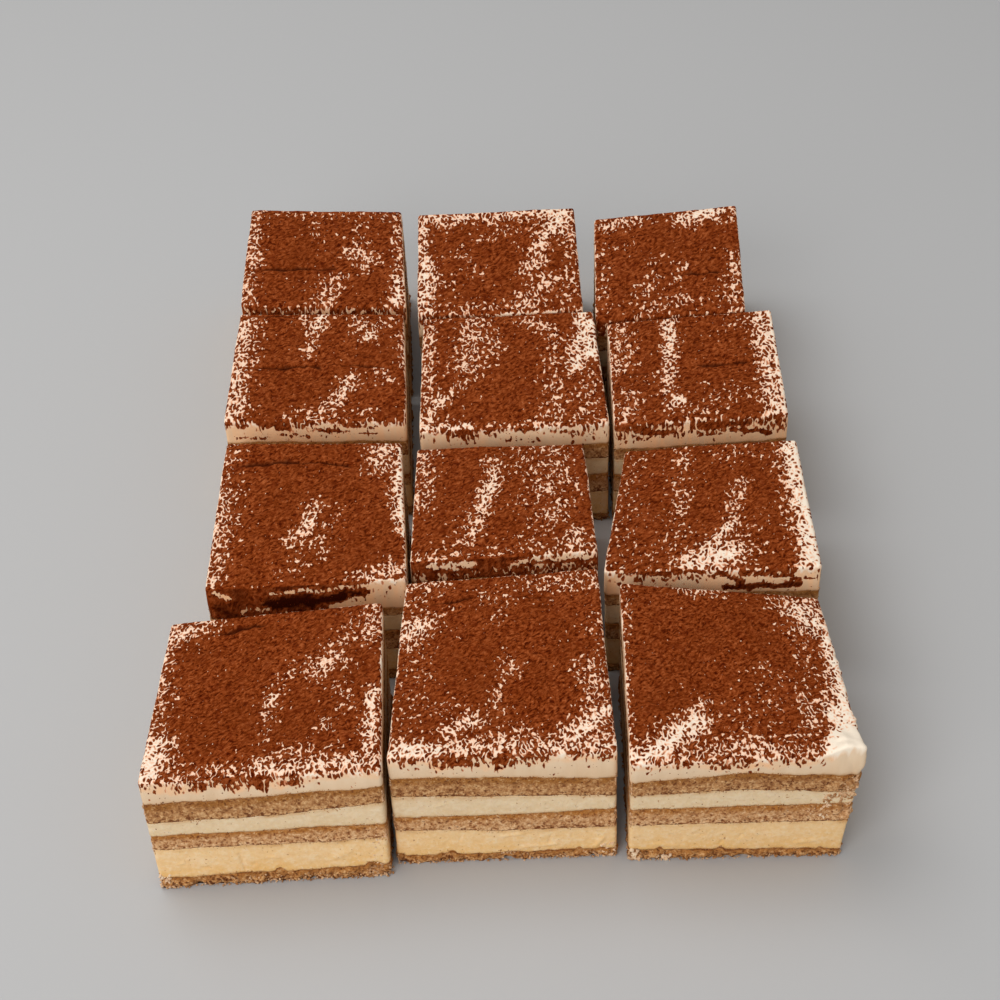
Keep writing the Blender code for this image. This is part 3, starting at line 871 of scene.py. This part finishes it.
def cocoa_finish():
    """Cocoa over cream: where the cream is bare, pale worms and dots stand out of the cocoa."""
    material, tree, shader = new_finish("cocoa_on_cream", 0.95, 0.02)
    drape = attribute(tree, "drape", "Vector")
    bare = attribute(tree, "bare")
    curls = tree.nodes.new("ShaderNodeTexGabor")
    curls.gabor_type = "2D"
    wire(tree, warped(tree, drape, 700, 1.1 * MM), curls.inputs["Vector"])
    curls.inputs["Scale"].default_value = 430
    curls.inputs["Frequency"].default_value = 1.0
    curls.inputs["Anisotropy"].default_value = 0.0
    off_curl = sums(tree, "ABSOLUTE", sums(tree, "SUBTRACT", curls.outputs["Value"], 0.5), 0.0)
    breaks = cloud(tree, drape, 700, 1.0)
    width = scaled(tree, breaks, 1.6, scaled(tree, bare, 0.7, -1.17))
    widest = sums(tree, "MAXIMUM", scaled(tree, bare, 0.2, -0.04), 0.085)
    inside = sums(tree, "SUBTRACT", sums(tree, "MINIMUM", width, widest), off_curl)
    crest = scaled(tree, inside, 17.0, 0.5, clamp=True)
    powder, strands = cocoa_powder(tree, drape, bare)
    colour, shaded_side_share = side_cream(tree, drape, attribute(tree, "down"))
    heart = scaled(tree, inside, 10.0, -0.3, clamp=True)
    # On the cut the bare cream takes the darker side colour: painted shade.
    cream = blend(tree, shaded_side_share, blend(tree, heart, (0.92, 0.535, 0.345), (0.94, 0.81, 0.65)), colour)
    edge = blend(tree, scaled(tree, crest, 3.0, clamp=True), powder, (0.66, 0.255, 0.125))
    colour = blend(tree, scaled(tree, crest, 2.0, -1.0, clamp=True), edge, cream)
    wire(tree, colour, shader.inputs["Base Color"])
    powdery = sums(tree, "MULTIPLY", strands, scaled(tree, crest, -1.25, 1.4))
    bump(tree, shader, scaled(tree, crest, 1.5, powdery), 0.4 * MM)
    return material


COCOA_ON_CREAM = cocoa_finish()
dusted_blocks = {}


def top_rise(ground):
    """How far the spread top stands above or below its plane."""
    return (0.5 * lumps(ground, 26 * MM, 51) + 0.28 * lumps(ground, 8 * MM, 52)
            + 0.17 * lumps(ground, 2.6 * MM, 53) + 0.13 * lumps(ground, 1.4 * MM, 54)) * MM


def torn_corner(square, across, along, facing, spots, ground):
    """The slab's front right corner tore open when it was cut free: how much each point belongs to
    the lip that was torn up there, how high that stands, and how far the torn side swells."""
    if square != "square_1_right":
        return np.zeros((3, len(across)))
    lip = eased(np.clip((across - 0.8) / 0.12, 0, 1) * np.clip(1 - along / 0.2, 0, 1))
    rise = lip * (3.4 + 1.0 * lumps(ground, 3 * MM, 61)) * MM
    torn = np.clip(facing[:, 0], 0, 1) * np.clip((0.85 - along) / 0.3, 0, 1)
    torn = torn * (1.1 * lumps(spots, 3.4 * MM, 63) + 0.8 * lumps(spots, 1.6 * MM, 64))
    return lip, rise, 1.3 * lip * np.abs(lumps(spots, 5 * MM, 62)) + torn


def dusted_side(square, across, past_rim, facing, spots, ground, lip):
    """How bare the sides are under the fringe of cocoa that hangs over the rim, and how brown they are
    painted: partly a cocoa stain, and on the squares behind also painted warm reflected light."""
    *reaches, stain_and_reflected_light = FRONT_DUST[square]
    front = np.clip(-facing[:, 1], 0, 1)
    reach = SIDE_DUST + front * (np.interp(across, (0, 0.25, 0.5, 0.75, 1), reaches) - SIDE_DUST)
    fringe = reach * (1 + 0.45 * lumps(ground, 9 * MM, 58) + 0.45 * lumps(ground, 2.6 * MM, 59)) * MM
    below = np.maximum(past_rim - fringe, 0)
    fall = np.clip(past_rim / np.maximum(fringe, 0.3 * MM), 0, 1)
    hanging = 1.0 - 0.115 * np.minimum(reach, 11) + 0.3 * fall + 0.5 * lumps(ground, 5 * MM, 65)
    hanging = hanging + below / (3 * MM) + LIP_BARENESS * lip
    dotted = DOTTED_SIDE[grain_of(square)] + 0.35 * lumps(spots, 6 * MM, 66) + LIP_BARENESS * lip
    hanging = np.minimum(hanging, dotted + np.maximum(past_rim / (6 * MM) - 1, 0))
    marked = front_marked(square, across, past_rim, spots, hanging)
    hanging = np.where(facing[:, 1] < -0.7, marked, hanging)
    stain = np.maximum(stain_and_reflected_light * front + 0.25 * (1 - front), 0.8 * np.exp(-(below / (1.4 * MM)) ** 2))
    return hanging, stain * (1 + 0.5 * lumps(ground, 5 * MM, 60))


def dusted_top(square):
    """The top cream of one square, with its cocoa painted on."""
    cut = CUTS[square]
    size = cut["size"]
    grain = grain_of(square)
    steps = np.rint(USUAL_TOP / TOP_STEP[grain]).astype(int)
    rings = round(TOP_SIDE / TOP_STEP[grain])
    if grain not in dusted_blocks:
        dusted_blocks[grain] = dusted_block(*steps.tolist(), rings)
    block = dusted_blocks[grain]
    unit = np.array([vert.co for vert in block.verts])
    lines = [rim_lines(size[axis], steps[axis]) for axis in (0, 1)]
    index = np.rint((unit[:, :2] + 0.5) * steps).astype(int)
    flat = np.column_stack([lines[axis][index[:, axis]] for axis in (0, 1)])
    flat, past, facing = round_corners(flat, size)
    across, along = (flat / size + 0.5).T
    ground = place(cut, flat, np.ones(len(flat)))
    height = ground[:, 2]
    down = -unit[:, 2] / rings
    on_top = down <= 0
    side_part = past / CORNER_RADIUS
    rounded = 1 - np.sqrt(np.maximum(0, 1 - side_part ** 2))
    rim_share = 1 - RIM_DROP / height
    seam_share = seam(square, 5, flat) - SEAM_OVERLAP / height
    share = np.where(on_top, 1 - rounded * (1 - rim_share), rim_share * (1 - down) + seam_share * down)
    spots = place(cut, flat, share)
    lip, rise, torn = torn_corner(square, across, along, facing, spots, ground)
    swell = 0.45 * lumps(spots, 15 * MM, 55) + 0.2 * lumps(spots, 5 * MM, 56)
    swell = swell + 0.1 * np.sin(math.pi * np.clip(down, 0, 1)) + torn
    top_part = np.where(on_top, 1 - rounded, 0)
    groove = groove_share(square, flat) * top_part
    spots[:, 2] += rise * np.where(on_top, 1, 1 - down)
    spots[:, 2] += top_rise(ground) * top_part - GROOVE_DEPTH * groove
    spots[:, :2] += facing * (side_part * (0.15 + 0.6 * swell) * MM)[:, None]
    piece = finished(f"top_cream_{square[7:]}", block, spots, COCOA_ON_CREAM, square)

    side_height = (rim_share - seam_share) * height
    depth = np.where(on_top, 0, down * side_height)
    arc = CORNER_RADIUS * (np.arcsin(np.clip(side_part, 0, 1)) - side_part)
    row = square[7]
    drape = (flat + facing * arc[:, None] + cut["tops"].mean(axis=0)) * (WORMS_ACROSS[row], WORMS_ALONG[row])
    drape = drape + facing * (depth * SIDE_STRETCH * WORMS_ACROSS[row])[:, None]
    paint(piece, "drape", np.column_stack((drape, np.zeros(len(drape)))))
    border = (size / 2 - np.abs(flat)).min(axis=1)
    bare_rim = 0.5 * np.exp(-(border / RIM_WIDTH) ** 2) * (1 + 0.8 * lumps(ground, 6 * MM, 57))
    # A groove's bareness drops below nought, which paints it darker: painted shade.
    bare = np.maximum(stroke_bareness(square, flat), bare_rim) - GROOVE_SHADE * groove + LIP_BARENESS * lip
    past_rim = depth + rounded * RIM_DROP
    over = eased(np.clip(past_rim / RIM_WIDTH, 0, 1))
    hanging, stain = dusted_side(square, across, past_rim, facing, spots, ground, lip)
    paint(piece, "bare", np.clip(bare * (1 - over) + hanging * over, LEAST_BARE, MOST_BARE))
    paint(piece, "down", past_rim / (10 * MM))
    paint(piece, "stain", stain)
    crumb = np.exp(-((side_height - depth) / (0.7 * MM)) ** 2) * (0.7 + 0.9 * lumps(spots, 2.5 * MM, 71))
    paint(piece, "dragged", crumb)


for square in SQUARES:
    dusted_top(square)


# Loose powder. The sieve lets coarse grains of cocoa through with the fine ones. They stand on the
# tops and stick to the cut fronts, as small lumps.
GRAINS_ON_TOP = 420
GRAINS_ON_FRONT = 50
SIDE_WAYS = np.array(((0, -1), (1, 0), (0, 1), (-1, 0)))


def on_cut(square, side, run):
    """Flat points along a cut: side 0 is the front, then right, back and left."""
    way = SIDE_WAYS[side]
    return (0.5 * way + run[:, None] * np.array((-way[1], way[0]))) * CUTS[square]["size"]


def on_side(square, side, run, share, out):
    """Points at a share of the height of a cut, standing out from it."""
    spots = place(CUTS[square], on_cut(square, side, run), share)
    spots[:, :2] += np.multiply.outer(out, SIDE_WAYS[side])
    return spots


def strewn(name, spots, radii, squash, material, seed):
    """One piece of many little lumps, each turned and squashed its own way."""
    rng = np.random.default_rng(seed)
    lump = bmesh.new()
    bmesh.ops.create_icosphere(lump, subdivisions=1, radius=1)
    shape = np.array([vert.co for vert in lump.verts])
    sides = np.array([[vert.index for vert in face.verts] for face in lump.faces])
    lump.free()
    count = len(spots)
    own = shape * rng.uniform(0.75, 1.2, (count, len(shape), 1)) * rng.uniform(squash, 1, (count, 1, 3))
    turn = rng.normal(size=(count, 4))
    w, x, y, z = (turn / np.linalg.norm(turn, axis=1)[:, None]).T
    rows = np.array(((1 - 2 * (y * y + z * z), 2 * (x * y - w * z), 2 * (x * z + w * y)),
                     (2 * (x * y + w * z), 1 - 2 * (x * x + z * z), 2 * (y * z - w * x)),
                     (2 * (x * z - w * y), 2 * (y * z + w * x), 1 - 2 * (x * x + y * y))))
    own = np.einsum("ijn,nkj->nki", rows, own) * radii[:, None, None] + spots[:, None, :]
    corners = (sides[None] + len(shape) * np.arange(count)[:, None, None]).reshape(-1, 3)
    mesh = bpy.data.meshes.new(name)
    mesh.from_pydata(own.reshape(-1, 3).tolist(), [], corners.tolist())
    mesh.materials.append(material)
    mesh.update()
    piece = bpy.data.objects.new(name, mesh)
    bpy.context.scene.collection.objects.link(piece)
    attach(piece, "root")


def plain_finish(name, colour, roughness, gloss):
    """A finish in one colour."""
    material, tree, shader = new_finish(name, roughness, gloss)
    shader.inputs["Base Color"].default_value = (*colour, 1.0)
    return material


rng = np.random.default_rng(7)
grain_spots = []
for square in SQUARES:
    flat = rng.uniform(-0.485, 0.485, (GRAINS_ON_TOP, 2)) * CUTS[square]["size"]
    ground = place(CUTS[square], flat, np.ones(GRAINS_ON_TOP))
    ground[:, 2] += top_rise(ground) + 0.02 * MM
    grain_spots.append(ground)
    run = rng.uniform(-0.49, 0.49, GRAINS_ON_FRONT)
    share = np.clip(1 - 0.2 * np.abs(rng.normal(size=GRAINS_ON_FRONT)), 0.1, 0.97)
    grain_spots.append(on_side(square, 0, run, share, 0.2 * MM))
grain_spots = np.concatenate(grain_spots)
grain_radii = rng.uniform(0.14, 0.32, len(grain_spots)) * MM
strewn("cocoa_grains", grain_spots, grain_radii, 0.6,
       plain_finish("cocoa_grain", (0.15, 0.028, 0.006), 0.95, 0.05), 8)


# Loose crumb. The saw and the lifting tear crumbs off the sponges. They cling round the feet, along
# the seams, in patches on the fronts and down the upright edges of the cuts, most of all in front.
FOOT_CRUMBS = 26
SEAM_CRUMBS = 22
EDGE_CRUMBS = 9
FRONT_BUSY = 6
FRONT_ROW_BUSY = 3
EDGE_HEIGHTS = (0.03, 0.06, 0.4, 0.44, 0.72, 0.76)
# Torn patches on the fronts: the square, from and to across it in per cent of its width, from and to
# up it in millimetres, how many lumps, the smallest and the largest radius, and of which stuff.
TORN_PATCHES = (
    ("square_1_right", 90, 100, 32, 43, 110, 0.3, 0.8, "crumb"),
    ("square_1_right", 86, 99, 27, 33, 70, 0.3, 0.75, "crumb"),
    ("square_1_right", 80, 97, 19, 27, 40, 0.25, 0.5, "crumb"),
    ("square_1_right", 86, 90, 20, 29, 14, 0.5, 0.9, "cream"),
    ("square_1_right", 0, 5, 0, 6, 26, 0.4, 1, "cream"),
    ("square_1_right", 13, 20, 0, 2.5, 12, 0.7, 1.3, "cream"),
    ("square_1_right", 0, 10, 0, 4, 40, 0.3, 0.7, "crumb"),
    ("square_1_middle", 93, 100, 0, 7, 24, 0.4, 1.1, "cream"),
    ("square_1_middle", 60, 100, 0, 3, 60, 0.3, 0.7, "crumb"),
    ("square_1_middle", 45, 60, 2, 5, 40, 0.3, 0.6, "crumb"),
    ("square_1_left", 90, 100, 0, 6, 60, 0.3, 0.8, "crumb"),
    ("square_1_left", 93, 100, 6, 22, 16, 0.3, 0.7, "cream"),
    ("square_1_left", 0, 5, 0, 7, 22, 0.4, 1, "cream"),
    ("square_1_left", 30, 80, 0, 4, 70, 0.3, 0.7, "crumb"),
)


def mottled(name, first, second):
    """A dull finish that changes from lump to lump between two colours."""
    material, tree, shader = new_finish(name, 0.9, 0.1)
    share = between(tree, cloud(tree, object_place(tree), 430, 1.0), 0.38, 0.62, 0, 1)
    wire(tree, blend(tree, share, first, second), shader.inputs["Base Color"])
    return material


crumb_spots, crumb_radii, crust_spots, crust_radii = [], [], [], []
for square, side in itertools.product(SQUARES, range(4)):
    busy = 1
    if square in FRONT_ROW:
        busy = FRONT_BUSY if side == 0 else FRONT_ROW_BUSY
    count = FOOT_CRUMBS * busy
    radii = rng.uniform(0.22, 0.5, count) ** 1.5 * 1.9 * MM
    run = rng.uniform(-0.5, 0.5, count)
    foot = on_side(square, side, run, np.zeros(count), rng.uniform(-0.3, 0.8, count) * MM)
    foot[:, 2] = rng.uniform(0.3, 1.0, count) * radii + rng.uniform(0, 0.9, count) ** 2 * MM
    crumb_spots.append(foot)
    crumb_radii.append(radii)
    for number in (1, 2, 3, 4, 5):
        count = SEAM_CRUMBS * busy // (1 if number in (1, 3, 5) else 2)
        run = rng.uniform(-0.49, 0.49, count)
        share = seam(square, number, on_cut(square, side, run)) + rng.normal(0, 0.35, count) / FULL_HEIGHT
        crust_spots.append(on_side(square, side, run, share, 0.1 * MM))
        crust_radii.append(rng.uniform(0.14, 0.34, count) * MM)
    for end in (-0.495, 0.495):
        count = EDGE_CRUMBS * busy
        share = np.clip(rng.choice(EDGE_HEIGHTS, count) + rng.uniform(-0.05, 0.05, count), 0.01, 0.95)
        out = rng.uniform(-0.6, 0.2, count) * MM
        crumb_spots.append(on_side(square, side, np.full(count, end), share, out))
        crumb_radii.append(rng.uniform(0.18, 0.5, count) * MM)

flake_spots, flake_radii = [], []
for square, start, end, low, high, count, smallest, largest, stuff in TORN_PATCHES:
    radii = rng.uniform(smallest, largest, count) * MM
    run = rng.uniform(start / 100, end / 100, count) - 0.5
    torn = on_side(square, 0, run, rng.uniform(low, high, count) / FULL_HEIGHT, 0.15 * radii)
    torn[:, 2] = np.maximum(torn[:, 2], 0.7 * radii)
    (crumb_spots if stuff == "crumb" else flake_spots).append(torn)
    (crumb_radii if stuff == "crumb" else flake_radii).append(radii)
strewn("sponge_crumbs", np.concatenate(crumb_spots), np.concatenate(crumb_radii), 0.5,
       mottled("loose_crumb", (0.38, 0.175, 0.065), (0.70, 0.45, 0.26)), 9)
strewn("crust_crumbs", np.concatenate(crust_spots), np.concatenate(crust_radii), 0.5,
       mottled("loose_crust", (0.27, 0.10, 0.027), (0.58, 0.33, 0.15)), 11)
strewn("cream_flakes", np.concatenate(flake_spots), np.concatenate(flake_radii), 0.35,
       mottled("torn_cream", (0.84, 0.66, 0.46), (0.74, 0.49, 0.30)), 10)


# Where it stands. A plain pale floor lies under the slab, with two soft lamps over it and in front,
# and the camera looks down on the front row.
FLOOR_SIZE = 8.0
floor_block = bmesh.new()
bmesh.ops.create_grid(floor_block, x_segments=1, y_segments=1, size=FLOOR_SIZE / 2)
floor_mesh = bpy.data.meshes.new("floor")
floor_block.to_mesh(floor_mesh)
floor_block.free()
floor_mesh.materials.append(plain_finish("pale_floor", (0.47, 0.47, 0.47), 0.8, 0.5))
floor = bpy.data.objects.new("floor", floor_mesh)
bpy.context.scene.collection.objects.link(floor)


def soft_light(name, power, size, location):
    """A square soft light that looks at the middle of the slab."""
    lamp = bpy.data.lights.new(name, "AREA")
    lamp.shape = "SQUARE"
    lamp.size = size
    lamp.energy = power
    thing = bpy.data.objects.new(name, lamp)
    thing.location = location
    thing.rotation_euler = (-Vector(location)).to_track_quat("-Z", "Y").to_euler()
    bpy.context.scene.collection.objects.link(thing)


soft_light("overhead_light", 12, 1.2, (-0.6, 0.35, 1.5))
soft_light("front_light", 16.5, 1.2, (-0.7, -1.45, 0.9))
world = bpy.data.worlds.new("studio")
world.use_nodes = True
world.node_tree.nodes["Background"].inputs["Color"].default_value = (1.0, 0.99, 0.98, 1.0)
world.node_tree.nodes["Background"].inputs["Strength"].default_value = 0.45
bpy.context.scene.world = world
bpy.context.scene.view_settings.view_transform = "Standard"

CAMERA_PLACE = Vector((11.42, -568.8, 487.9)) * MM
CAMERA_PITCH = math.radians(39.64)
CAMERA_YAW = math.radians(-1.23)
CAMERA_ROLL = math.radians(2.77)
SENSOR = 36
FOCAL_IN_PIXELS = 1733.5
IMAGE_SIDE = 1000
level_way = Vector((math.sin(CAMERA_YAW), math.cos(CAMERA_YAW), 0))
view_way = level_way * math.cos(CAMERA_PITCH) - Vector((0, 0, math.sin(CAMERA_PITCH)))
level_right = Vector((math.cos(CAMERA_YAW), -math.sin(CAMERA_YAW), 0))
level_down = view_way.cross(level_right)
right_way = math.cos(CAMERA_ROLL) * level_right + math.sin(CAMERA_ROLL) * level_down
up_way = math.sin(CAMERA_ROLL) * level_right - math.cos(CAMERA_ROLL) * level_down
camera_turn = Matrix((right_way, up_way, -view_way)).transposed().to_4x4()
lens = bpy.data.cameras.new("camera")
lens.sensor_width = SENSOR
lens.lens = FOCAL_IN_PIXELS / IMAGE_SIDE * SENSOR
lens.clip_start = 0.01
camera = bpy.data.objects.new("camera", lens)
camera.matrix_world = Matrix.Translation(CAMERA_PLACE) @ camera_turn
bpy.context.scene.collection.objects.link(camera)
bpy.context.scene.camera = camera
